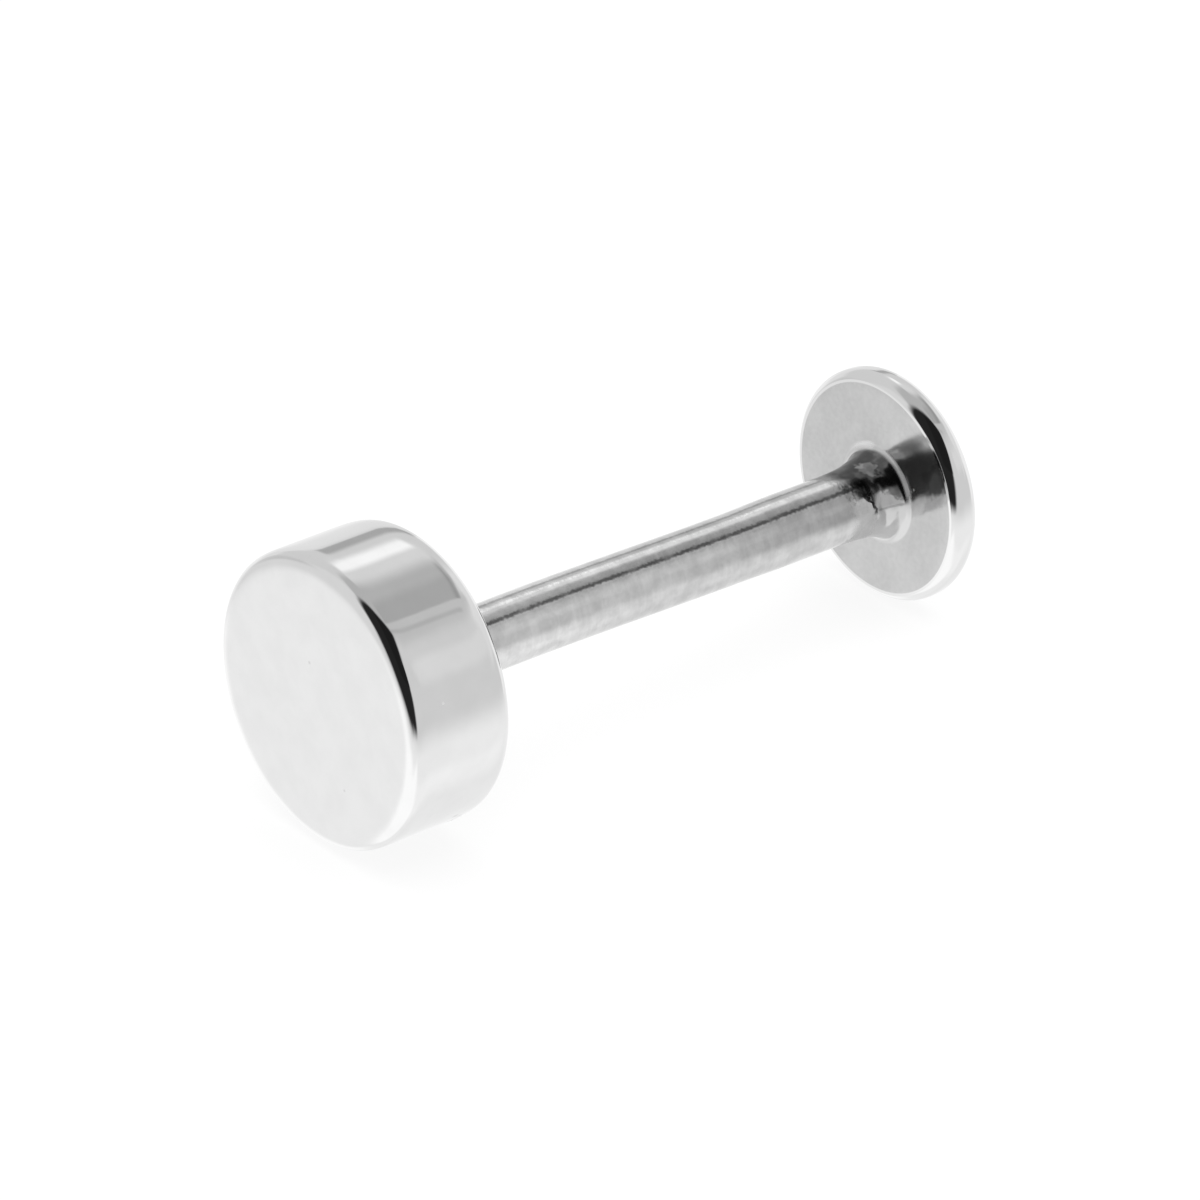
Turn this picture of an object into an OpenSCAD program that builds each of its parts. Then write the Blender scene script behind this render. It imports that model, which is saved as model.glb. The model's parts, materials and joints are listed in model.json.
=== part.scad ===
// Labret stud: a plain round head that screws onto a slim bar with a flat disc soldered to its other end.
// Every piece is turned about one axis, so each is a profile of radius and length spun round that axis.
// The profiles run along the axis from the head's front face to the disc's outer face.
// The stud then lies on a surface at z = 0, on one edge of the head and one edge of the disc.

/* [Bar] */
// Diameter of the bar
bar_d = 1.18; // [0.8:0.01:1.6]
// Clear length of the bar between the head and the disc
bar_len = 9.8; // [4:0.1:16]

/* [Head] */
// Diameter of the head
head_d = 5.0; // [3:0.1:8]
// Thickness of the head
head_t = 2.0; // [1.4:0.05:4]
// Rounding of the edge of the head's front face
head_front_round = 0.2; // [0.05:0.01:0.5]
// Rounding of the edge of the head's back face
head_back_round = 0.28; // [0.05:0.01:0.5]
// Metal left between the threaded hole and the head's front face
head_front_wall = 0.4; // [0.2:0.05:0.6]

/* [Back disc] */
// Diameter of the back disc
disc_d = 4.0; // [3:0.1:7]
// Thickness of the back disc
disc_t = 0.55; // [0.5:0.05:1.5]
// Rounding of the edge of the disc's inner face, on the bar's side
disc_inner_round = 0.15; // [0.05:0.01:0.2]
// Rounding of the edge of the disc's outer face
disc_outer_round = 0.22; // [0.05:0.01:0.25]

/* [Solder joint] */
// Length over which the bar widens before it meets the disc
flare_len = 0.6; // [0.4:0.05:1]
// Radius of the long hollow curve along which the bar widens
flare_curve_r = 1.2; // [1.1:0.05:2.5]
// Radius of the small hollow fillet between that curve and the disc
fillet_r = 0.16; // [0.05:0.01:0.3]

/* [Thread] */
// Width of the shoulder that the bar leaves round the thread, on which the head seats
shoulder_w = 0.09; // [0.05:0.01:0.15]
// Distance from one ridge of the thread to the next
thread_pitch = 0.25; // [0.15:0.05:0.4]
// Height of a ridge above the groove beside it
thread_depth = 0.13; // [0.05:0.01:0.15]
// Length of the cone at the tip of the threaded end
tip_cone_len = 0.12; // [0.05:0.01:0.2]

/* [Fits] */
// Gap between the head's back face and the shoulder of the bar
seat_gap = 0.02; // [0.01:0.01:0.1]
// Gap, measured on the radius, between the thread's ridges and the hole in the head
thread_gap = 0.02; // [0.01:0.01:0.04]
// Gap between the tip of the thread and the bottom of its hole
tip_gap = 0.1; // [0.05:0.05:0.2]

/* [Hidden] */
$fn = 128;

bar_r = bar_d / 2;
head_r = head_d / 2;
disc_r = disc_d / 2;
thread_r = bar_r - shoulder_w;
thread_root_r = thread_r - thread_depth;
hole_r = thread_r + thread_gap;

// Places along the axis, counted from the head's front face
hole_end = head_front_wall;
tip_end = hole_end + tip_gap;
shoulder = head_t + seat_gap;
disc_face = head_t + bar_len;
disc_back = disc_face + disc_t;
flare_start = disc_face - flare_len;

// Share of the pitch that is flat, at the bottom of a groove. A ridge comes to a point.
root_share = 2 / 5;

// Centre of the small fillet, which touches the disc's face and the long hollow curve from inside
fillet_rise = flare_len - fillet_r;
fillet_x = bar_r + flare_curve_r - sqrt(pow(flare_curve_r - fillet_r, 2) - pow(fillet_rise, 2));
// Place along the axis where the two curves meet
curves_meet = flare_start + fillet_rise * flare_curve_r / (flare_curve_r - fillet_r);

// How the stud lies: the wider end tilts it, so it touches the surface with the wide end's edge
// on the bar's side and with the narrow end's edge on the far side. Both edges are rounded, and
// the angle comes from the radius, place and rounding of each.
head_is_wide = head_d >= disc_d;
head_round = head_is_wide ? head_back_round : head_front_round;
head_touch = head_is_wide ? head_t - head_back_round : head_front_round;
disc_round = head_is_wide ? disc_outer_round : disc_inner_round;
disc_touch = head_is_wide ? disc_back - disc_outer_round : disc_face + disc_inner_round;
edge_drop = (head_r - head_round) - (disc_r - disc_round);
edge_run = disc_touch - head_touch;
lie_angle = acos((disc_round - head_round) / norm([edge_drop, edge_run])) - atan2(edge_run, edge_drop);

// Ends of the lying stud along the surface, and the height of its axis at the head's front face
lean = abs(sin(lie_angle));
head_end = head_front_round * (cos(lie_angle) - 1) - (head_r - head_front_round) * lean;
disc_end = (disc_back - disc_outer_round) * cos(lie_angle)
    + (disc_r - disc_outer_round) * lean + disc_outer_round;
axis_height = head_round + (head_r - head_round) * cos(lie_angle) + head_touch * sin(lie_angle);

// Profile of a flat round piece from the axis outwards, with its two edges rounded
module round_edged(radius, thick, low_round, high_round) {
    middle = (low_round + thick - high_round) / 2;
    square([radius - low_round, middle]);
    translate([0, middle]) square([radius - high_round, thick - middle]);
    translate([0, low_round]) square([radius, thick - low_round - high_round]);
    translate([radius - low_round, low_round]) circle(low_round);
    translate([radius - high_round, thick - high_round]) circle(high_round);
}

// Corners of a row of ridges that fits between two places along the axis, as radius and place
function ridges(root_r, start, end) =
    let (count = floor((end - start) / thread_pitch), crest_r = root_r + thread_depth)
    [for (i = [0 : 1 : count - 1])
        let (from = start + i * thread_pitch)
        each [
            [root_r, from + root_share * thread_pitch],
            [crest_r, from + (1 + root_share) / 2 * thread_pitch],
            [root_r, from + thread_pitch]]];

// Profile of the threaded end: a cone at its tip, then ridges up to the shoulder
module thread_profile() {
    polygon(concat(
        [[0, tip_end], [thread_root_r - tip_cone_len / 2, tip_end], [thread_root_r, tip_end + tip_cone_len]],
        ridges(thread_root_r, tip_end + tip_cone_len, shoulder),
        [[thread_root_r, shoulder], [0, shoulder]]));
}

// Profile of the threaded hole: as wide as the ridges need, with the thread's grooves cut in its wall
module hole_profile() {
    polygon(concat(
        [[0, hole_end], [hole_r, hole_end]],
        ridges(hole_r, tip_end, head_t - thread_pitch / 2),
        [[hole_r, shoulder], [0, shoulder]]));
}

// Profile of the metal that widens the bar into the disc
module flare_profile() {
    difference() {
        translate([0, flare_start]) square([fillet_x, flare_len + disc_t / 2]);
        intersection() {
            translate([bar_r + flare_curve_r, flare_start]) circle(flare_curve_r);
            translate([0, flare_start]) square([fillet_x, curves_meet - flare_start]);
        }
        intersection() {
            translate([fillet_x, disc_face - fillet_r]) circle(fillet_r);
            translate([0, curves_meet]) square([fillet_x, disc_face - curves_meet]);
        }
    }
}

// Lays a piece that stands along the axis down on the surface, centred over the origin
module lying() {
    translate([-(head_end + disc_end) / 2, 0, axis_height])
        rotate([0, 90 + lie_angle, 0]) children();
}

// The head: a flat round piece, drilled and tapped from its back
module head() {
    color("silver") lying() rotate_extrude() difference() {
        round_edged(head_r, head_t, head_front_round, head_back_round);
        hole_profile();
    }
}

// The post: threaded end, bar, flare and back disc, one piece of metal once soldered
module post() {
    color("lightgray") lying() rotate_extrude() union() {
        thread_profile();
        translate([0, shoulder]) square([bar_r, disc_face + disc_t / 2 - shoulder]);
        flare_profile();
        translate([0, disc_face]) round_edged(disc_r, disc_t, disc_inner_round, disc_outer_round);
    }
}

head();
post();
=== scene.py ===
"""A steel labret stud on a pale studio floor: a screw-on head, and a post with a soldered disc."""

import json
import math

import bmesh
import bpy
from bpy.props import FloatProperty, FloatVectorProperty, PointerProperty
from mathutils import Matrix, Vector, noise


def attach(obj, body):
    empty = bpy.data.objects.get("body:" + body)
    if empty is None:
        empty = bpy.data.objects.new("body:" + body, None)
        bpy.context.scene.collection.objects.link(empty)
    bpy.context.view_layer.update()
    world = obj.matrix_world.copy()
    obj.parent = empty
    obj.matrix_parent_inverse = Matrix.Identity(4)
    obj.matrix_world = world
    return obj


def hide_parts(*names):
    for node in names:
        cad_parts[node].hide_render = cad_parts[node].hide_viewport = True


bl_info = {
    "name": "Labret stud",
    "version": (1, 0, 0),
    "blender": (4, 5, 0),
    "location": "3D View > Sidebar > Stud",
    "description": "Builds a steel labret stud with a screw-on head, lying on a studio floor",
    "category": "Object",
}

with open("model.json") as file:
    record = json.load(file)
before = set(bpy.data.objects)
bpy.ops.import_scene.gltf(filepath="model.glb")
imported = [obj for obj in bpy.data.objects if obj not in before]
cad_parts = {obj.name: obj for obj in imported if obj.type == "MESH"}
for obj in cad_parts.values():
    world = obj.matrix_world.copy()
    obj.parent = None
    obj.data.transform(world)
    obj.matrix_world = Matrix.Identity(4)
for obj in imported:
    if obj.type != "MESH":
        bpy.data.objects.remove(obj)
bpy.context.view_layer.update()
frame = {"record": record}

MM = 0.001
MOUNTS = {mount["name"]: mount for mount in frame["record"]["mounts"]}
HEAD_FRONT = Vector(MOUNTS["head_front"]["pos_m"])
# The stud's own axis, from the head's front face to the disc's outer face
ALONG = Vector(MOUNTS["disc_back"]["axis"]).normalized()
ACROSS = Vector((0, -1, 0))
BAR_RADIUS = MOUNTS["bar"]["dims"]["r_mm"] * MM
DISC_BACK = (Vector(MOUNTS["disc_back"]["pos_m"]) - HEAD_FRONT).dot(ALONG)
DISC_FACE = (Vector(MOUNTS["disc_seat"]["pos_m"]) - HEAD_FRONT).dot(ALONG)

# The profiles are turned about local Z and then laid down. Local X points up, and local Y to
# the stud's near side, where -Y is
LYING = Matrix((ACROSS.cross(ALONG), ACROSS, ALONG)).transposed()
LAY_DOWN = Matrix.Translation(HEAD_FRONT) @ LYING.to_4x4()

# Angle at which the disc's rim leaves the flat face, in degrees
FACE_CORNER = 31
# Arcs of a polished corner, each as a share of its rounding and a turn in degrees: polishing
# leaves no crisp line where a flat or a straight wall ends
SOFT_CORNER = ((8, 5), (2, 9), (0.8, 62), (2, 9), (8, 5))
SEGMENTS = 192
ARC_PARTS = 14
# How near to a radius or a place a point is taken to be at it
NEAR = 0.01 * MM
# Edges turned by more than this stay crisp
SHARP_ANGLE = math.radians(32)

# The bar leans down and to the near side, at this turn in degrees from the top. It runs true up
# to the first place, in millimetres, has most of its lean by the second, and the rest at the
# disc, on whose face the lean fades out between two radii
LEAN_TURN = math.radians(143)
LEAN_SIDE = Vector((math.cos(LEAN_TURN), math.sin(LEAN_TURN), 0))
LEAN_START, LEAN_END = 3.9, 9.4
LEAN_SHARE = 0.83
LEAN_FADES = 0.9 * MM, 1.25 * MM

# The polished waist of the bar: how far past the shoulder it starts and is full, and how far
# before the flare it is nearly and quite gone
WAIST_STARTS, WAIST_FULL = 0.5 * MM, 1.2 * MM
WAIST_FADES, WAIST_ENDS = 2.6 * MM, 1.8 * MM
WAIST_LEFT = 0.4

# Clearances inside the screwed joint, as in the CAD
SEAT_GAP = 0.02 * MM
TIP_GAP = 0.1 * MM
HOLE_GAP = 0.02 * MM
# Chamfer at the bar's end, the bare groove before it, how near to the bar the thread runs,
# and the cone that the drill leaves at the bottom of the hole
CHAMFER = 0.03 * MM
GROOVE = 0.06 * MM
THREAD_STOP = 0.05 * MM
DRILL_POINT = 0.1 * MM
# Share of the pitch that the thread's ridge is wide
RIDGE_SHARE = 0.6

# Place of the disc's inner face in millimetres, in which the materials count
FACE = DISC_FACE / MM
JOINT_ROUGHNESS = 0.14
CHIP_ROUGHNESS = 0.5

FLOOR_RADIUS = 2.0
DOME_RADIUS = 0.5
LAMP_HEIGHT, LAMP_SIZE = 0.45, 0.6


def length(name, description, millimetres):
    """A size that the sidebar shows in the scene's own unit."""
    return FloatProperty(
        name=name,
        description=description,
        default=millimetres * MM,
        min=0.01 * MM,
        precision=5,
        unit="LENGTH",
        subtype="DISTANCE",
    )


def share(name, description, default):
    """A number from nought to one."""
    return FloatProperty(
        name=name, description=description, default=default, min=0, max=1, subtype="FACTOR"
    )


def colour(name, description, default):
    """A colour in linear values."""
    return FloatVectorProperty(
        name=name, description=description, default=default, min=0, max=1, size=3, subtype="COLOR"
    )


class HeadSizes(bpy.types.PropertyGroup):
    """Sizes of the screw-on head."""

    diameter: length("Diameter", "Diameter of the head", 5.0)
    thickness: length("Thickness", "Thickness of the head", 2.0)
    front_rounding: length("Front rounding", "Rounding of the front face's edge", 0.2)
    back_rounding: length("Back rounding", "Rounding of the back face's edge", 0.28)
    front_wall: length("Front wall", "Metal between the threaded hole and the front face", 0.4)
    mouth: length("Hole's mouth", "Width of the chamfer at the mouth of the hole", 0.06)


class PostSizes(bpy.types.PropertyGroup):
    """Sizes of the bar, its thread and the disc."""

    waist: length("Waist", "How much slimmer the bar is polished near the head", 0.036)
    bend: length("Bend", "How far off its centre the bar meets the disc", 0.094)
    lead_length: length("Lead length", "Length over which the bar thickens before the flare", 0.5)
    lead_radius: length("Lead radius", "Radius of the faint hollow curve before the flare", 5.0)
    flare_length: length("Flare length", "Length over which the bar widens at the disc", 0.55)
    flare_radius: length("Flare radius", "Radius of the long hollow curve of the flare", 1.6)
    fillet_radius: length("Fillet radius", "Radius of the small hollow curve at the disc", 0.14)
    disc_diameter: length("Disc diameter", "Diameter of the disc", 4.0)
    inner_rounding: length("Inner rounding", "Rounding of the disc's inner edge", 0.25)
    face_edge: length("Face's edge", "Small rounding where the disc's flat inner face ends", 0.03)
    outer_rounding: length("Outer rounding", "Rounding of the disc's outer edge", 0.25)
    shoulder: length("Shoulder", "Width of the shoulder round the thread", 0.09)
    thread_depth: length("Thread depth", "Height of the thread's ridge", 0.13)
    thread_pitch: length("Thread pitch", "Distance from one turn of the thread to the next", 0.25)
    tip_cone: length("Tip cone", "Length of the cone at the tip of the thread", 0.12)


class Finish(bpy.types.PropertyGroup):
    """Colours and polish of the steel."""

    steel: colour("Steel", "Colour of the polished steel", (0.80, 0.80, 0.80))
    bar_steel: colour("Bar's steel", "Colour of the bar's steel", (0.70, 0.70, 0.70))
    solder: colour("Solder", "Colour of the soldered joint", (0.62, 0.62, 0.62))
    satin_steel: colour("Satin steel", "Colour of the disc's satin inner face", (0.56, 0.56, 0.56))
    head_roughness: share("Head's roughness", "Roughness of the polished head", 0.05)
    bar_roughness: share("Bar's roughness", "Roughness of the bar", 0.12)
    satin_roughness: share("Satin roughness", "Roughness of the disc's inner face", 0.13)


class Studio(bpy.types.PropertyGroup):
    """Camera, floor and lights."""

    floor: colour("Floor", "Colour of the floor", (0.18, 0.18, 0.18))
    floor_glow: FloatProperty(
        name="Floor's glow",
        description="Light that the floor gives off itself",
        default=0.84,
        min=0,
    )
    sky: FloatProperty(
        name="Sky",
        description="Brightness of the soft light from all round",
        default=0.8,
        min=0,
    )
    lamp: FloatProperty(
        name="Lamp",
        description="Power of the soft lamp overhead",
        default=1.2,
        min=0,
        unit="POWER",
    )
    camera_azimuth: FloatProperty(
        name="Camera's azimuth",
        description="Angle of the camera round the stud, from the side that looks along +Y",
        default=math.radians(-40.2456),
        subtype="ANGLE",
        unit="ROTATION",
    )
    camera_elevation: FloatProperty(
        name="Camera's elevation",
        description="Height of the camera above the horizon",
        default=math.radians(31.3281),
        subtype="ANGLE",
        unit="ROTATION",
    )
    camera_distance: length("Camera's distance", "Distance from the camera to the stud", 147.687)
    aim: FloatVectorProperty(
        name="Aim",
        description="Point at the middle of the picture",
        default=(-0.0067 * MM, 0.3537 * MM, 1.9035 * MM),
        size=3,
        unit="LENGTH",
        subtype="XYZ",
    )
    focal_length: FloatProperty(
        name="Focal length",
        description="Focal length of the lens in millimetres, on a sensor 36 mm wide",
        default=273.9,
        min=1,
    )


class Pen:
    """Draws a profile one stroke after another, as a radius and a place along the stud."""

    def __init__(self, mesh, radius, along):
        self.mesh = mesh
        self.tip = mesh.verts.new((radius, 0, along))

    def line(self, radius, along, parts=1):
        """A straight stroke to a radius and a place, in equal parts."""
        step = (Vector((radius, 0, along)) - self.tip.co) / parts
        for _ in range(parts):
            self.tip = bmesh.ops.extrude_vert_indiv(self.mesh, verts=[self.tip])["verts"][0]
            bmesh.ops.translate(self.mesh, verts=[self.tip], vec=step)

    def arc(self, radius, along, turn, parts=ARC_PARTS):
        """A round stroke about a centre. A positive turn goes from outwards towards the disc."""
        made = bmesh.ops.spin(
            self.mesh,
            geom=[self.tip],
            cent=(radius, 0, along),
            axis=(0, -1, 0),
            angle=turn,
            steps=parts,
        )
        self.tip = next(g for g in made["geom_last"] if isinstance(g, bmesh.types.BMVert))

    def corner(self, rounding, heading=0):
        """A polished corner of 90 degrees, from a heading in degrees."""
        for part, turn in SOFT_CORNER:
            angle, radius = math.radians(heading), part * rounding
            centre = self.tip.co + radius * Vector((-math.sin(angle), 0, math.cos(angle)))
            self.arc(centre.x, centre.z, math.radians(turn), max(2, round(turn / 4)))
            heading += turn


def corner_width(rounding):
    """Length that a polished corner takes up on each of its two sides."""
    width = turned = 0
    for part, turn in SOFT_CORNER:
        width += part * (math.sin(math.radians(turned + turn)) - math.sin(math.radians(turned)))
        turned += turn
    return width * rounding


def turn_on_lathe(mesh):
    """Spins the drawn profile round the stud's axis and closes it at its poles."""
    bmesh.ops.spin(
        mesh,
        geom=mesh.verts[:] + mesh.edges[:],
        cent=(0, 0, 0),
        axis=(0, 0, 1),
        angle=math.tau,
        steps=SEGMENTS,
        use_merge=True,
    )
    bmesh.ops.remove_doubles(mesh, verts=mesh.verts[:], dist=0.001 * MM)
    bmesh.ops.recalc_face_normals(mesh, faces=mesh.faces[:])


def cut_thread(mesh, root, start, end, depth, pitch):
    """Raises a helical ridge, pointed as in the CAD, on the rows drawn at the root radius."""
    for vert in mesh.verts:
        radius = math.hypot(vert.co.x, vert.co.y)
        if not start < vert.co.z < end or abs(radius - root) > NEAR:
            continue
        phase = ((vert.co.z - start) / pitch - math.atan2(vert.co.y, vert.co.x) / math.tau) % 1
        ridge = max(0, 1 - abs(2 * phase - 1) / RIDGE_SHARE)
        fade = min(1, (vert.co.z - start) / (0.5 * pitch), (end - vert.co.z) / (0.5 * pitch))
        grown = 1 + depth * ridge * fade / radius
        vert.co.x *= grown
        vert.co.y *= grown


def press_dent(mesh, angle, along, radius, width, run, depth):
    """Presses a small hollow into a round wall, so wide round it and running so far along it."""
    middle = math.radians(angle)
    for vert in mesh.verts:
        if abs(math.hypot(vert.co.x, vert.co.y) - radius) > NEAR:
            continue
        turned = (math.atan2(vert.co.y, vert.co.x) - middle + math.pi) % math.tau - math.pi
        away = (turned * radius / width) ** 2 + ((vert.co.z - along) / run) ** 2
        if away < 1:
            shrunk = 1 - depth * (1 - away) ** 2 / radius
            vert.co.x *= shrunk
            vert.co.y *= shrunk


def ripple(mesh, start, end, radius, size, depth):
    """Makes turned metal uneven between two places along the stud, out to a radius."""
    mesh.normal_update()
    moves = []
    for vert in mesh.verts:
        if start < vert.co.z < end and math.hypot(vert.co.x, vert.co.y) < radius:
            fade = min(1, (vert.co.z - start) / size, (end - vert.co.z) / size)
            moves.append((vert, vert.normal * (depth * fade * noise.noise(vert.co / size))))
    for vert, move in moves:
        vert.co += move


def smooth_step(value, start, end):
    """Nought before the start, one after the end, and a smooth rise between them."""
    part = min(1, max(0, (value - start) / (end - start)))
    return part * part * (3 - 2 * part)


def bend_bar(mesh, start, end, bend):
    """Leans the bar off the stud's axis, so that it meets the disc a little off its centre."""
    first, second = LEAN_START * MM, LEAN_END * MM
    for vert in mesh.verts:
        if not start < vert.co.z < end + NEAR:
            continue
        away = LEAN_SHARE * smooth_step(vert.co.z, first, second)
        away += (1 - LEAN_SHARE) * smooth_step(vert.co.z, second, end)
        away *= 1 - smooth_step(math.hypot(vert.co.x, vert.co.y), *LEAN_FADES)
        vert.co += away * bend * LEAN_SIDE


def finish_piece(mesh, name, material):
    """Lays the turned piece down where the CAD has it, and shades it smooth but for its flats."""
    mesh.transform(LAY_DOWN)
    for face in mesh.faces:
        face.smooth = True
    data = bpy.data.meshes.new(name)
    mesh.to_mesh(data)
    mesh.free()
    data.set_sharp_from_angle(angle=SHARP_ANGLE)
    data.materials.append(material)
    piece = bpy.data.objects.new(name, data)
    bpy.context.scene.collection.objects.link(piece)
    shading = piece.modifiers.new("flat faces stay flat", "WEIGHTED_NORMAL")
    shading.mode = "FACE_AREA"
    shading.keep_sharp = True
    return piece


def put(tree, kind, inputs=(), **settings):
    """Adds a shader node, sets it up, and feeds it with numbers or with other nodes' outputs."""
    made = tree.nodes.new("ShaderNode" + kind)
    for key, value in settings.items():
        setattr(made, key, value)
    for key, value in dict(inputs).items():
        if isinstance(value, bpy.types.NodeSocket):
            tree.links.new(value, made.inputs[key])
        else:
            made.inputs[key].default_value = value
    return made


def new_material(name):
    """An empty node material, its tree and its output node."""
    material = bpy.data.materials.new(name)
    material.use_nodes = True
    material.node_tree.nodes.clear()
    return material, material.node_tree, put(material.node_tree, "OutputMaterial")


def math_node(tree, operation, *values):
    """The output of a Math node."""
    return put(tree, "Math", enumerate(values), operation=operation).outputs["Value"]


def product(tree, first, *others):
    """Several numbers multiplied together."""
    for other in others:
        first = math_node(tree, "MULTIPLY", first, other)
    return first


def flat_length(tree, place):
    """Distance from the stud's axis."""
    flat = put(tree, "VectorMath", {0: place, 1: (1, 1, 0)}, operation="MULTIPLY").outputs["Vector"]
    return put(tree, "VectorMath", {0: flat}, operation="LENGTH").outputs["Value"]


def ramp(tree, value, start, end, low=0.0, high=1.0):
    """A smooth step from low to high as the value goes from start to end."""
    inputs = {"Value": value, "From Min": start, "From Max": end, "To Min": low, "To Max": high}
    return put(tree, "MapRange", inputs, interpolation_type="SMOOTHSTEP").outputs["Result"]


def stud_millimetres(tree):
    """Coordinates in the stud's own frame, in millimetres: Z runs from the head's front face."""
    place = put(tree, "TexCoord").outputs["Object"]
    inputs = {
        "Vector": place,
        "Location": HEAD_FRONT,
        "Rotation": LYING.to_euler(),
        "Scale": (MM, MM, MM),
    }
    return put(tree, "Mapping", inputs, vector_type="TEXTURE").outputs["Vector"]


def on_wall(radius, turn, along):
    """A point of the stud in its own frame, from its radius, its turn in degrees and its place."""
    angle = math.radians(turn)
    return radius * math.cos(angle), radius * math.sin(angle), along


def speck(tree, place, centre, size):
    """One at a point of the stud, falling to nought at so many millimetres from it."""
    away = put(tree, "VectorMath", {0: place, 1: centre}, operation="DISTANCE").outputs["Value"]
    return ramp(tree, away, size, size * 0.3)


def max_of(tree, first, *others):
    """The largest of several numbers."""
    for other in others:
        first = math_node(tree, "MAXIMUM", first, other)
    return first


def grain(tree, place, size, detail=3.0, stretch=(1, 1, 1)):
    """Noise from nought to one, whose lumps are so many millimetres wide."""
    if stretch != (1, 1, 1):
        place = put(tree, "Mapping", {"Vector": place, "Scale": stretch}).outputs["Vector"]
    inputs = {"Vector": place, "Scale": 0.5 / size, "Detail": detail}
    return put(tree, "TexNoise", inputs).outputs["Fac"]


def bump(tree, height, micrometres, normal=None):
    """Raises the surface by so many micrometres where the height is one."""
    inputs = {"Height": height, "Distance": micrometres * 1e-6, "Strength": 1.0}
    if normal is not None:
        inputs["Normal"] = normal
    return put(tree, "Bump", inputs).outputs["Normal"]


def mix_number(tree, share_of_second, first, second):
    """One number turning into another."""
    return put(
        tree, "Mix", {0: share_of_second, 2: first, 3: second}, data_type="FLOAT"
    ).outputs[0]


def mix_colour(tree, share_of_second, first, second):
    """One colour turning into another."""
    made = put(tree, "Mix", {0: share_of_second}, data_type="RGBA")
    for slot, value in ((6, first), (7, second)):
        if isinstance(value, bpy.types.NodeSocket):
            tree.links.new(value, made.inputs[slot])
        else:
            made.inputs[slot].default_value = (*value, 1)
    return made.outputs[2]


def times(tree, base, factor):
    """A colour made darker or lighter by a node's number."""
    return put(tree, "VectorMath", {0: base, "Scale": factor}, operation="SCALE").outputs["Vector"]


def strayed(tree, value, noise, reach):
    """A number that noise moves by up to so much."""
    return math_node(tree, "MULTIPLY_ADD", noise, reach, value)


def uneven(tree, place, size):
    """Noise from minus one to one, whose lumps are so many millimetres wide."""
    return math_node(tree, "MULTIPLY_ADD", grain(tree, place, size, 4), 2, -1)


def between(tree, value, start, end, softness):
    """One between two numbers, with soft ends."""
    return product(
        tree,
        ramp(tree, value, start - softness, start + softness),
        ramp(tree, value, end + softness, end - softness),
    )


def apart(tree, first, second):
    """How far two numbers are from each other."""
    return math_node(tree, "ABSOLUTE", math_node(tree, "SUBTRACT", first, second))


def spot(tree, along, turn, centre, size):
    """One inside an oval on the flare, whose centre and half size are a place and a turn."""
    x = math_node(tree, "DIVIDE", math_node(tree, "SUBTRACT", along, centre[0]), size[0])
    y = math_node(tree, "DIVIDE", math_node(tree, "SUBTRACT", turn, centre[1]), size[1])
    away = math_node(tree, "ADD", product(tree, x, x), product(tree, y, y))
    return ramp(tree, away, 1.25, 0.7)


def head_steel(finish, sizes):
    """Mirror-polished steel with faint waves, a little handling haze, a nick and a few specks."""
    material, tree, output = new_material("polished_steel")
    place = stud_millimetres(tree)
    wall = sizes.diameter / 2 / MM
    haze = ramp(tree, grain(tree, place, 0.3, 5), 0.3, 0.7, 0.982, 1.018)
    nick = max_of(
        tree,
        speck(tree, place, on_wall(wall, 138, 1.62), 0.13),
        speck(tree, place, on_wall(wall, 134, 1.48), 0.10),
        speck(tree, place, on_wall(wall, 131, 1.34), 0.08),
    )
    pits = max_of(
        tree,
        speck(tree, place, on_wall(0.68, -17, 0), 0.04),
        speck(tree, place, on_wall(1.45, 149, 0), 0.035),
    )
    chip = speck(tree, place, on_wall(wall, 69.5, 0.63), 0.035)
    tone = product(
        tree, haze, mix_number(tree, nick, 1.0, 0.74), mix_number(tree, pits, 1.0, 0.86)
    )
    base = mix_colour(tree, chip, times(tree, finish.steel, tone), (0.95, 0.95, 0.95))
    polish = finish.head_roughness
    roughness = ramp(tree, grain(tree, place, 0.12, 3), 0.3, 0.75, polish, polish + 0.03)
    roughness = mix_number(tree, chip, roughness, CHIP_ROUGHNESS)
    wavy = bump(tree, grain(tree, place, 0.4, 2), 1.8)
    fine = bump(tree, grain(tree, place, 0.06, 2), 0.08, wavy)
    inputs = {"Base Color": base, "Metallic": 1.0, "Roughness": roughness, "Normal": fine}
    metal = put(tree, "BsdfPrincipled", inputs)
    tree.links.new(metal.outputs[0], output.inputs["Surface"])
    return material


def leant_place(tree, place, sizes):
    """Coordinates about the bar's own middle, which leans away from the stud's axis."""
    along = put(tree, "SeparateXYZ", {"Vector": place}).outputs["Z"]
    first = ramp(tree, along, LEAN_START, LEAN_END, 0, -LEAN_SHARE)
    second = ramp(tree, along, LEAN_END, FACE, 0, LEAN_SHARE - 1)
    lean = {0: LEAN_SIDE * (sizes.bend / MM), "Scale": math_node(tree, "ADD", first, second)}
    shift = put(tree, "VectorMath", lean, operation="SCALE").outputs["Vector"]
    return put(tree, "VectorMath", {0: place, 1: shift}, operation="ADD").outputs["Vector"]


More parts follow.
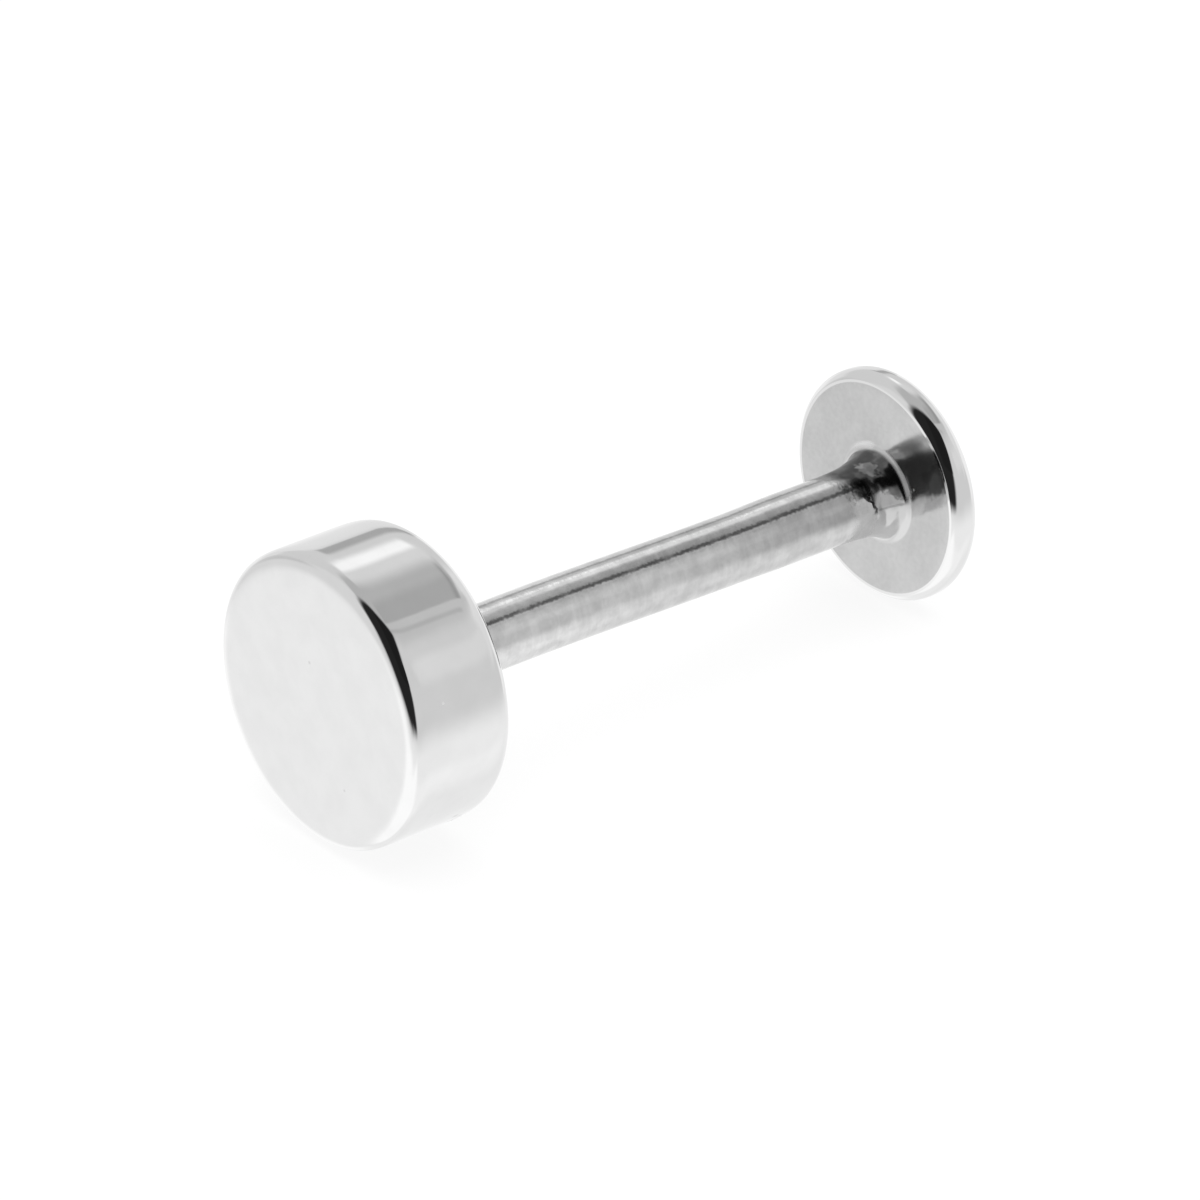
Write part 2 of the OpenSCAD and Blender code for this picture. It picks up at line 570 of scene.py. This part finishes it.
class PostPlace:
    """Where a point of the post lies: millimetres along it and out from its own middle, and the
    turn round it in degrees, nought at the top and 90 on the near side."""

    def __init__(self, tree, sizes):
        self.stud = stud_millimetres(tree)
        self.own = leant_place(tree, self.stud, sizes)
        parts = put(tree, "SeparateXYZ", {"Vector": self.own}).outputs
        self.along = parts["Z"]
        self.radius = flat_length(tree, self.own)
        self.turn = math_node(tree, "DEGREES", math_node(tree, "ARCTAN2", parts["Y"], parts["X"]))
        self.crumbs = uneven(tree, self.own, 0.04)
        self.ragged = uneven(tree, self.own, 0.07)
        self.ragged_along = strayed(tree, self.along, self.ragged, 0.1)
        self.ragged_turn = strayed(tree, self.turn, self.ragged, 14)


def satin_mask(tree, at, sizes):
    """One on the disc's satin face, out to a narrow polished edge."""
    edge = (sizes.disc_diameter / 2 - sizes.inner_rounding) / MM
    edge += (sizes.inner_rounding - sizes.face_edge) / MM * math.sin(math.radians(FACE_CORNER))
    return product(
        tree,
        ramp(tree, at.radius, 0.84, 0.89),
        ramp(tree, flat_length(tree, at.stud), edge - 0.03, edge - 0.055),
        ramp(tree, apart(tree, at.along, FACE), 0.02, 0.01),
    )


def joint_mask(tree, at):
    """One on the flare and its foot, where the solder is."""
    return product(
        tree,
        ramp(tree, at.along, FACE - 0.65, FACE - 0.55),
        ramp(tree, at.along, FACE + 0.02, FACE),
        ramp(tree, at.radius, 0.98, 0.92),
    )


def bar_tone(tree, at):
    """Mottled bar, with painted shade towards the disc, a painted highlight on top, painted light
    on the far side.
    """
    cloud = ramp(tree, grain(tree, at.own, 0.13, 5), 0.3, 0.7, 0.90, 1.09)
    rings = ramp(tree, grain(tree, at.own, 0.035, 2, (0.12, 0.12, 1)), 0.3, 0.7, 0.975, 1.025)
    # Painted shade: the bar darkens towards the disc, most of all on its lower side
    painted_shade_to_disc = mix_number(
        tree,
        between(tree, at.turn, 40, 82, 9),
        ramp(tree, at.along, 3.5, 7.2, 1.0, 0.85),
        ramp(tree, at.along, 6, 12, 0.92, 0.56),
    )
    # Painted shade that deepens towards the painted dark line
    painted_shade_above_line = mix_number(
        tree, ramp(tree, at.turn, 34, 36), ramp(tree, at.turn, 20, 33, 1.0, 0.92), 1.0
    )
    # Painted light: the far side of the bar is lit brighter
    painted_light_far_side = ramp(tree, at.turn, -16, -30, 1.0, 1.2)
    # Painted highlight: a bright streak along the top of the bar
    painted_top_highlight = product(
        tree,
        ramp(tree, apart(tree, at.turn, 9), 9, 3),
        ramp(tree, at.along, 2.5, 6.5),
        ramp(tree, at.along, FACE - 0.8, FACE - 1.1),
    )
    return product(
        tree, cloud, rings, painted_shade_to_disc, painted_shade_above_line, painted_light_far_side, mix_number(tree, painted_top_highlight, 1.0, 1.42)
    )


def painted_reflection_line(tree, at):
    """One on a painted dark reflection: a ragged dark line along the bar."""
    # Painted reflection: the line stands for the mirrored edge of a dark card
    line = strayed(tree, 28.2, grain(tree, at.own, 0.035, 4), 9)
    return product(
        tree,
        ramp(tree, apart(tree, at.turn, line), 5.6, 0.8),
        ramp(tree, grain(tree, at.own, 0.1, 2), 0.2, 0.5, 0.5, 1),
    )


def smoke_tone(tree, at):
    """How dark the smoke is: two patches in it are wiped nearly bare, and one blob is darker."""
    along = strayed(tree, at.along, at.crumbs, 0.12)
    turn = strayed(tree, at.turn, at.crumbs, 18)
    bare = max_of(
        tree,
        product(tree, spot(tree, along, turn, (FACE - 0.41, -2), (0.07, 8)), 0.9),
        product(tree, spot(tree, along, turn, (FACE - 0.36, 10), (0.13, 16)), 0.45),
    )
    blob = spot(tree, at.ragged_along, at.ragged_turn, (FACE - 0.74, 32), (0.17, 15))
    smoke = ramp(tree, grain(tree, at.own, 0.12, 3), 0.4, 0.7, 0.22, 0.42)
    return mix_number(tree, blob, mix_number(tree, bare, smoke, 0.95), 0.13)


def joint_marks(tree, at):
    """Shade of the soldered joint, and how much of it a pale film of residue covers.

    The torch has smoked its upper side, and a dark ragged seam shows where the solder ends.
    """
    # The border between smoke and film, which drops towards the disc
    drop = ramp(tree, at.along, FACE - 0.35, FACE, 0, 20)
    border = math_node(tree, "SUBTRACT", at.ragged_turn, drop)
    smoke_start = math_node(tree, "ADD", at.ragged_along, ramp(tree, at.turn, 0, 20, 0.14, 0))
    smoke_foot = math_node(tree, "SUBTRACT", at.radius, ramp(tree, at.turn, -20, 40, 0, 0.05))
    smoked = product(
        tree,
        ramp(tree, smoke_start, FACE - 0.95, FACE - 0.72),
        ramp(tree, border, 58, 51),
        ramp(tree, smoke_foot, 0.80, 0.745),
        ramp(tree, at.along, FACE + 0.1, FACE + 0.05),
    )
    solder_end = ramp(tree, at.turn, 40, 74, FACE - 0.74, FACE - 0.58)
    solder_end = strayed(tree, solder_end, at.crumbs, 0.09)
    seam = product(
        tree,
        ramp(tree, apart(tree, at.along, solder_end), 0.05, 0.018),
        between(tree, at.turn, 45, 84, 4),
    )
    ridge = product(
        tree,
        ramp(tree, apart(tree, at.turn, 79), 2.6, 0.8),
        between(tree, at.along, FACE - 0.5, FACE - 0.05, 0.03),
    )
    grey = product(
        tree,
        between(tree, at.ragged_turn, 50, 79, 3),
        between(tree, at.along, FACE - 0.58, FACE - 0.09, 0.03),
    )
    tone = product(
        tree,
        mix_number(tree, smoked, 1.0, smoke_tone(tree, at)),
        mix_number(tree, seam, 1.0, 0.2),
        mix_number(tree, ridge, 1.0, 0.72),
        mix_number(tree, grey, 1.0, 0.82),
    )
    film = product(
        tree,
        ramp(tree, at.ragged_along, FACE - 1.1, FACE - 0.85),
        ramp(tree, math_node(tree, "SUBTRACT", at.along, solder_end), 0.06, 0),
        ramp(tree, border, 49, 56),
        ramp(tree, at.along, FACE - 0.2, FACE - 0.02, 1.0, 0.5),
        mix_number(tree, seam, ramp(tree, grain(tree, at.own, 0.08, 4), 0.3, 0.7, 0.55, 0.9), 0),
    )
    foot = product(
        tree,
        ramp(tree, apart(tree, at.radius, 0.825), 0.065, 0.03),
        ramp(tree, apart(tree, at.along, FACE), 0.1, 0.05),
        between(tree, at.turn, 8, 74, 8),
        0.5,
    )
    return tone, max_of(tree, film, foot)


def satin_tone(tree, at):
    """The disc's face is satin, with a painted dark reflection out beside the joint."""
    slant = math_node(tree, "MULTIPLY_ADD", at.radius, 9, -10.5)
    turn = strayed(tree, math_node(tree, "ADD", at.turn, slant), at.ragged, 4)
    # Painted reflection: a dark wedge on the satin face beside the joint
    painted_dark_reflection = product(tree, ramp(tree, at.radius, 1.2, 1.4), between(tree, turn, 54, 70.5, 2))
    return product(
        tree,
        ramp(tree, grain(tree, at.stud, 0.4, 5), 0.3, 0.7, 0.95, 1.05),
        ramp(tree, grain(tree, at.stud, 0.05, 2), 0.3, 0.7, 0.98, 1.02),
        mix_number(tree, painted_dark_reflection, 1.0, 0.14),
    )


def chip_and_painted_highlight(tree, at):
    """One on a chip in the disc's face, and on a painted highlight along the joint's foot."""
    # Painted highlight: a bright streak along the joint's foot
    painted_foot_highlight = product(
        tree,
        ramp(tree, apart(tree, at.radius, 0.84), 0.09, 0.02),
        ramp(tree, at.turn, -62, -20),
        ramp(tree, at.turn, -6, -15),
        ramp(tree, apart(tree, at.along, FACE), 0.06, 0.03),
        0.8,
    )
    return max_of(tree, speck(tree, at.stud, on_wall(1.0, 68, FACE), 0.035), painted_foot_highlight)


def post_steel(finish, sizes):
    """Bar steel with fine drawing marks, painted light and shade, a smoked soldered joint, and a
    satin face on the disc.
    """
    material, tree, output = new_material("drawn_steel")
    at = PostPlace(tree, sizes)
    bar = between(tree, at.along, 2.05, FACE - 0.6, 0.05)
    joint, satin = joint_mask(tree, at), satin_mask(tree, at, sizes)
    chip_and_highlight = chip_and_painted_highlight(tree, at)

    # The bar's mottled tone, with painted highlight, painted shade and a painted dark reflection
    # line
    tone = product(tree, bar_tone(tree, at), mix_number(tree, painted_reflection_line(tree, at), 1.0, 0.32))
    joint_tone, film = joint_marks(tree, at)
    film = max_of(tree, film, product(tree, satin, 0.04))
    base = mix_colour(tree, bar, finish.steel, times(tree, finish.bar_steel, tone))
    base = times(tree, mix_colour(tree, joint, base, finish.solder), joint_tone)
    base = mix_colour(tree, satin, base, times(tree, finish.satin_steel, satin_tone(tree, at)))
    # The chip and the painted highlight on the joint's foot, in pale steel
    base = mix_colour(tree, chip_and_highlight, base, (0.92, 0.92, 0.92))

    rough = mix_number(tree, bar, finish.head_roughness, finish.bar_roughness)
    rough = mix_number(tree, joint, rough, JOINT_ROUGHNESS)
    rough = mix_number(tree, satin, rough, finish.satin_roughness)
    rough = mix_number(tree, chip_and_highlight, rough, CHIP_ROUGHNESS)

    fine = bump(tree, product(tree, grain(tree, at.own, 0.055, 4), bar), 3.5)
    wavy = bump(tree, grain(tree, at.own, 0.3, 2), 0.8, fine)
    # The heat has drawn the disc's face into a faint trough beside the joint
    trough = bump(tree, ramp(tree, apart(tree, at.turn, 47), 0, 34), 19, wavy)
    shape = put(tree, "Mix", {0: satin, 4: wavy, 5: trough}, data_type="VECTOR").outputs[1]
    inputs = {"Base Color": base, "Metallic": 1.0, "Roughness": rough, "Normal": shape}
    metal = put(tree, "BsdfPrincipled", inputs)
    residue = put(tree, "BsdfDiffuse", {"Color": (0.5, 0.5, 0.5, 1)})
    both = put(tree, "MixShader", {0: film, 1: metal.outputs[0], 2: residue.outputs[0]})
    tree.links.new(both.outputs[0], output.inputs["Surface"])
    return material


class STUD_OT_head(bpy.types.Operator):
    """Turn the head, tap its hole and polish it."""

    bl_idname = "stud.make_head"
    bl_label = "Make the head"

    def execute(self, context):
        """Draws the head's profile and spins it."""
        sizes, post = context.scene.stud_head, context.scene.stud_post
        radius, thick = sizes.diameter / 2, sizes.thickness
        front, back = sizes.front_rounding, sizes.back_rounding
        hole = BAR_RADIUS - post.shoulder + HOLE_GAP
        floor = sizes.front_wall

        mesh = bmesh.new()
        pen = Pen(mesh, 0, 0)
        pen.line(radius - corner_width(front), 0, parts=4)
        pen.corner(front)
        pen.line(radius, thick - corner_width(back), parts=20)
        pen.corner(back, heading=90)
        pen.line(hole + sizes.mouth, thick, parts=5)
        pen.line(hole, thick - sizes.mouth)
        pen.line(hole, floor, parts=96)
        pen.line(0, floor - DRILL_POINT, parts=3)
        turn_on_lathe(mesh)
        cut_thread(
            mesh,
            root=hole,
            start=floor + TIP_GAP,
            end=thick - sizes.mouth,
            depth=post.thread_depth,
            pitch=post.thread_pitch,
        )
        press_dent(
            mesh,
            angle=140,
            along=1.55 * MM,
            radius=radius,
            width=0.10 * MM,
            run=0.2 * MM,
            depth=0.03 * MM,
        )
        head = finish_piece(mesh, "steel_head", head_steel(context.scene.stud_finish, sizes))
        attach(head, "head")
        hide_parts("head")
        return {"FINISHED"}


class STUD_OT_post(bpy.types.Operator):
    """Turn the post: threaded end, bar, flare and disc, one piece once soldered."""

    bl_idname = "stud.make_post"
    bl_label = "Make the post"

    def execute(self, context):
        """Draws the post's profile and spins it."""
        sizes, head = context.scene.stud_post, context.scene.stud_head
        thread = BAR_RADIUS - sizes.shoulder
        root = thread - sizes.thread_depth
        tip = head.front_wall + TIP_GAP
        shoulder = head.thickness + SEAT_GAP
        disc = sizes.disc_diameter / 2
        inner, outer = sizes.inner_rounding, sizes.outer_rounding
        long, small = sizes.flare_radius, sizes.fillet_radius
        flare = DISC_FACE - sizes.flare_length
        lead, lead_curve = sizes.lead_length, sizes.lead_radius
        # The faint run-in, the long curve and the small fillet each meet the next smoothly
        lean = math.asin(lead / lead_curve)
        middle = BAR_RADIUS + lead_curve * (1 - math.cos(lean)) + long * math.cos(lean)
        level = flare - long * math.sin(lean)
        swing = math.asin((DISC_FACE - small - level) / (long - small))
        fillet = middle - (long - small) * math.cos(swing)
        corner = math.radians(FACE_CORNER)
        face_edge = sizes.face_edge
        flat = disc - inner + (inner - face_edge) * math.sin(corner)

        mesh = bmesh.new()
        pen = Pen(mesh, 0, tip)
        pen.line(root - sizes.tip_cone / 2, tip, parts=2)
        pen.line(root, tip + sizes.tip_cone, parts=2)
        pen.line(root, shoulder - GROOVE, parts=84)
        pen.line(root, shoulder)
        pen.line(BAR_RADIUS - CHAMFER, shoulder)
        pen.line(BAR_RADIUS, shoulder + CHAMFER)
        pen.line(BAR_RADIUS, shoulder + WAIST_STARTS, parts=3)
        pen.line(BAR_RADIUS - sizes.waist / 2, shoulder + WAIST_FULL, parts=4)
        pen.line(BAR_RADIUS - WAIST_LEFT * sizes.waist, flare - WAIST_FADES, parts=24)
        pen.line(BAR_RADIUS, flare - WAIST_ENDS, parts=6)
        pen.line(BAR_RADIUS, flare - lead, parts=12)
        pen.arc(BAR_RADIUS + lead_curve, flare - lead, -lean, parts=10)
        pen.arc(middle, level, lean - swing, parts=24)
        pen.arc(fillet, DISC_FACE - small, swing - math.pi / 2, parts=12)
        pen.line(flat, DISC_FACE, parts=5)
        pen.arc(flat, DISC_FACE + face_edge, corner, parts=4)
        rim = DISC_FACE + face_edge + (inner - face_edge) * math.cos(corner)
        pen.arc(disc - inner, rim, math.pi / 2 - corner)
        pen.line(disc, DISC_BACK - outer, parts=2)
        pen.arc(disc - outer, DISC_BACK - outer, math.pi / 2)
        pen.line(0, DISC_BACK, parts=4)
        turn_on_lathe(mesh)
        cut_thread(
            mesh,
            root=root,
            start=tip + sizes.tip_cone,
            end=shoulder - THREAD_STOP,
            depth=sizes.thread_depth,
            pitch=sizes.thread_pitch,
        )
        ripple(mesh, flare, DISC_FACE, fillet, size=0.16 * MM, depth=0.007 * MM)
        bend_bar(mesh, shoulder, DISC_FACE, sizes.bend)
        post = finish_piece(mesh, "steel_post", post_steel(context.scene.stud_finish, sizes))
        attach(post, "post")
        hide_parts("post")
        return {"FINISHED"}


def towards(azimuth, elevation):
    """Direction from the stud, with the azimuth counted as the views count it, in degrees."""
    turn, rise = math.radians(azimuth), math.radians(elevation)
    return Vector(
        (math.sin(turn) * math.cos(rise), -math.cos(turn) * math.cos(rise), math.sin(rise))
    )


# What the steel mirrors, painted on a dome round the stud, each over the ones before it.
# A card is its brightness, and its corners as azimuth, elevation and the softness in degrees
# of the side that leaves the corner.
CARDS = {
    "bright horizon": (1.04, ((132, 13, 6), (132, -16, 4), (66, -16, 10), (66, 13, 15))),
    "far left horizon": (0.87, ((-170, 9, 6), (-170, -16, 4), (130, -16, 1), (130, 10, 8))),
    "left glow": (1.02, ((156, -3, 8), (156, -24, 10), (-172, -24, 10), (-174, -6, 10))),
    "left wall": (0.81, ((-104, 50, 6), (-104, -30, 6), (-140, -30, 10), (-137, 40, 10))),
    "back wall": (0.86, ((104, 42, 12), (108, 12, 8), (46, 8, 10), (58, 36, 8))),
    "seam": (0.46, ((147, 12.3, 2), (144.5, 22, 6), (131, 18, 4), (131, 12.3, 2))),
    "under the ceiling": (0.62, ((80, 36, 10), (46, 40, 14), (34, 60, 8), (70, 60, 8))),
    "ceiling": (
        0.535,
        ((120, 39, 2), (72, 44.5, 1.6), (49, 62, 8), (-105, 52, 12), (-155, 57, 12), (155, 58, 18)),
    ),
    "ceiling's edge": (0.46, ((96, 44, 3), (72, 44.5, 1.6), (49, 62, 5), (84, 68, 8))),
    "ceiling's rim": (0.36, ((112, 45, 3), (71, 44.8, 1.2), (70, 47.8, 3), (112, 46.6, 6))),
    "ceiling's line": (0.52, ((61.6, 44.6, 2), (58.4, 42.9, 2), (46, 54, 2), (49, 56, 2))),
    "strip's glow": (0.80, ((142, 27.5, 8), (154, 42.5, 6), (128, 62, 14), (110, 43, 6))),
    "strip light": (1.14, ((138.2, 30, 7), (146, 41, 10), (140, 50, 6), (128.5, 38.5, 3))),
    "side panel": (0.82, ((54, 17, 6), (54, 31, 6), (34, 31, 6), (34, 17, 8))),
}
# Brightness of the table, and the elevations between which the room turns into it
TABLE = 1.01
TABLE_EDGE = (-4, -27)
TABLE_CARDS = {
    "near table's right": (1.07, ((-60, -26, 8), (-60, -66, 12), (52, -62, 14), (52, -34, 10))),
    "near table": (
        1.19, ((-134, -20.5, 6), (-130, -66, 12), (-35, -74, 18), (-14, -62, 18), (-55, -26, 8))
    ),
    "left table": (1.16, ((-150, -26, 12), (-146, -62, 12), (160, -62, 10), (160, -26, 10))),
    "far table": (0.97, ((62, -36, 8), (150, -40, 8), (150, -78, 10), (62, -78, 10))),
    "table's rim": (0.81, ((-98, 4, 8), (-98, -19, 8), (-160, -22, 12), (-160, 0, 8))),
    "dusk": (0.66, ((-135, 6, 10), (-136, -9, 12), (-162, -9, 14), (-162, 8, 12))),
}
DARK_ROOM = {
    "dark room": (
        0.021, ((-106, -11, 10), (-35, -8, 14), (-10, 24, 12), (-25, 86, 12), (-107, 68, 10))
    ),
    "dark room's top": (
        0.015,
        ((-60, 20, 2), (-10, 24, 8), (13, 41.5, 8), (44, 53, 8), (46, 74, 12), (-25, 85, 4)),
    ),
    "dark room's foot": (0.021, ((-107, 4, 8), (-119, -18.8, 10), (-68, -11, 8), (-68, 4, 8))),
}
# Brightness of what no card covers
AROUND = 0.74


def paint_card(tree, place, below, brightness, corners):
    """Paints a card over what is below it and returns the new brightness."""
    middle = sum((towards(azimuth, elevation) for azimuth, elevation, _ in corners), Vector())
    covered = None
    for (azimuth, elevation, softness), (azimuth_2, elevation_2, _) in zip(
        corners, corners[1:] + corners[:1]
    ):
        side = towards(azimuth, elevation).cross(towards(azimuth_2, elevation_2)).normalized()
        if side.dot(middle) < 0:
            side.negate()
        inward = put(tree, "VectorMath", {0: place, 1: side}, operation="DOT_PRODUCT")
        half = math.sin(math.radians(softness / 2))
        step = ramp(tree, inward.outputs["Value"], -half, half)
        covered = step if covered is None else math_node(tree, "MULTIPLY", covered, step)
    return mix_number(tree, covered, below, brightness)


def dome_paint():
    """The glowing paint on the inside of the dome."""
    material, tree, output = new_material("dome_paint")
    inputs = {0: put(tree, "TexCoord").outputs["Object"]}
    place = put(tree, "VectorMath", inputs, operation="NORMALIZE").outputs["Vector"]
    height = put(tree, "SeparateXYZ", {"Vector": place}).outputs["Z"]
    bright = AROUND
    for brightness, corners in CARDS.values():
        bright = paint_card(tree, place, bright, brightness, corners)
    start, end = (math.sin(math.radians(angle)) for angle in TABLE_EDGE)
    bright = mix_number(tree, ramp(tree, height, start, end), bright, TABLE)
    for brightness, corners in (*TABLE_CARDS.values(), *DARK_ROOM.values()):
        bright = paint_card(tree, place, bright, brightness, corners)
    glow = put(tree, "Emission", {"Strength": bright})
    tree.links.new(glow.outputs[0], output.inputs["Surface"])
    return material


def floor_paint(studio):
    """Plain pale paint, a little uneven as real paint is, and lit so that shadows stay faint."""
    material, tree, output = new_material("floor_paint")
    place = put(tree, "TexCoord").outputs["Object"]
    cloud = put(tree, "TexNoise", {"Vector": place, "Scale": 60.0, "Detail": 2.0}).outputs["Fac"]
    base = times(tree, studio.floor, ramp(tree, cloud, 0.3, 0.7, 0.99, 1.01))
    paint = put(tree, "BsdfDiffuse", {"Color": base})
    glow = put(tree, "Emission", {"Color": (1, 1, 1, 1), "Strength": studio.floor_glow})
    both = put(tree, "AddShader", {0: paint.outputs[0], 1: glow.outputs[0]})
    tree.links.new(both.outputs[0], output.inputs["Surface"])
    return material


def stage_object(mesh, name, material):
    """Puts a mesh into the scene as stage, not part of the stud."""
    data = bpy.data.meshes.new(name)
    mesh.to_mesh(data)
    mesh.free()
    data.materials.append(material)
    made = bpy.data.objects.new(name, data)
    bpy.context.scene.collection.objects.link(made)
    return made


class STUD_OT_stage(bpy.types.Operator):
    """Set the floor, the reflecting dome, the lights and the camera."""

    bl_idname = "stud.make_stage"
    bl_label = "Make the stage"

    def execute(self, context):
        """Builds everything that isn't the stud."""
        scene, studio = context.scene, context.scene.stud_studio
        scene.view_settings.view_transform = "Standard"

        mesh = bmesh.new()
        bmesh.ops.create_circle(mesh, cap_ends=True, segments=64, radius=FLOOR_RADIUS)
        floor = stage_object(mesh, "floor", floor_paint(studio))
        floor.visible_glossy = False

        mesh = bmesh.new()
        bmesh.ops.create_uvsphere(mesh, u_segments=64, v_segments=32, radius=DOME_RADIUS)
        dome = stage_object(mesh, "dome", dome_paint())
        dome.visible_camera = dome.visible_diffuse = dome.visible_shadow = False
        dome.visible_transmission = dome.visible_volume_scatter = False

        world = bpy.data.worlds.new("soft sky")
        world.use_nodes = True
        sky = world.node_tree.nodes["Background"]
        sky.inputs["Color"].default_value = (1, 1, 1, 1)
        sky.inputs["Strength"].default_value = studio.sky
        scene.world = world

        lamp = bpy.data.lights.new("soft lamp", "AREA")
        lamp.shape, lamp.size, lamp.energy = "DISK", LAMP_SIZE, studio.lamp
        overhead = bpy.data.objects.new("soft lamp", lamp)
        overhead.location = (0, 0, LAMP_HEIGHT)
        overhead.visible_glossy = False
        scene.collection.objects.link(overhead)

        back = towards(math.degrees(studio.camera_azimuth), math.degrees(studio.camera_elevation))
        lens = bpy.data.cameras.new("camera")
        lens.lens, lens.sensor_width = studio.focal_length, 36
        lens.clip_start, lens.clip_end = 0.01, 10
        camera = bpy.data.objects.new("camera", lens)
        camera.location = Vector(studio.aim) + back * studio.camera_distance
        camera.rotation_euler = (-back).to_track_quat("-Z", "Y").to_euler()
        scene.collection.objects.link(camera)
        scene.camera = camera
        return {"FINISHED"}


class STUD_PT_panel(bpy.types.Panel):
    """The stud's sizes, finishes and studio, with a button for each thing to make."""

    bl_idname = "STUD_PT_panel"
    bl_label = "Labret stud"
    bl_space_type = "VIEW_3D"
    bl_region_type = "UI"
    bl_category = "Stud"

    def draw(self, context):
        """Lists every property under its button."""
        for group, operator in PANEL_ROWS:
            box = self.layout.box()
            if operator:
                box.operator(operator.bl_idname)
            settings = getattr(context.scene, group)
            for name in settings.__annotations__:
                box.prop(settings, name)


GROUPS = {
    "stud_head": HeadSizes,
    "stud_post": PostSizes,
    "stud_finish": Finish,
    "stud_studio": Studio,
}
PANEL_ROWS = (
    ("stud_studio", STUD_OT_stage),
    ("stud_finish", None),
    ("stud_head", STUD_OT_head),
    ("stud_post", STUD_OT_post),
)
OPERATORS = (STUD_OT_stage, STUD_OT_head, STUD_OT_post)


def register():
    """Adds the classes and the scene's settings."""
    for made in (*GROUPS.values(), *OPERATORS, STUD_PT_panel):
        bpy.utils.register_class(made)
    for name, group in GROUPS.items():
        setattr(bpy.types.Scene, name, PointerProperty(type=group))


def unregister():
    """Takes away the scene's settings and the classes."""
    for name in GROUPS:
        delattr(bpy.types.Scene, name)
    for made in (STUD_PT_panel, *reversed(OPERATORS), *reversed(GROUPS.values())):
        bpy.utils.unregister_class(made)


def main():
    """Makes the stage and the stud."""
    register()
    bpy.ops.stud.make_stage()
    bpy.ops.stud.make_head()
    bpy.ops.stud.make_post()


if __name__ == "__main__":
    main()
